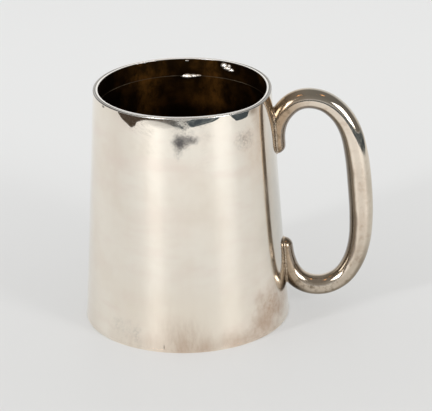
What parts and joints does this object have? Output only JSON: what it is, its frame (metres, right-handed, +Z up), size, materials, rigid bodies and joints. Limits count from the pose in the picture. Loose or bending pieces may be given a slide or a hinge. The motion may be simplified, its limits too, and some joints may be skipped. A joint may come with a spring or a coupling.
{
  "type": "beer mug",
  "caption": "Plain tapered metal drinking mug with a beaded lip, a foot ring, a raised base and a round hollow loop handle for one hand.",
  "frame": {"origin": "on the plane that the mug stands on, below the middle of its overall extents; the drum's axis is 20.3 mm away on the -X side", "axes": "+Z up along the drum's axis, +X towards the handle, which lies in the plane y = 0"},
  "size_m": [0.1382, 0.0976, 0.115],
  "materials": {
    "body_silver": "polished silver, softened by handling, with faint tarnish",
    "lip_silver": "bright polished silver",
    "base_silver": "dull silver, tarnished inside the mug",
    "handle_silver": "polished silver with warm tarnish",
    "solder": "dull silver solder"
  },
  "bodies": {
    "root": {"body_wall": "body_silver", "rim_band": "lip_silver", "foot_ring": "body_silver", "base_plate": "base_silver", "base_solder": "solder", "handle_front_half": "handle_silver", "handle_back_half": "handle_silver", "upper_tail_solder": "solder", "lower_tail_solder": "solder"}
  },
  "joints": []
}
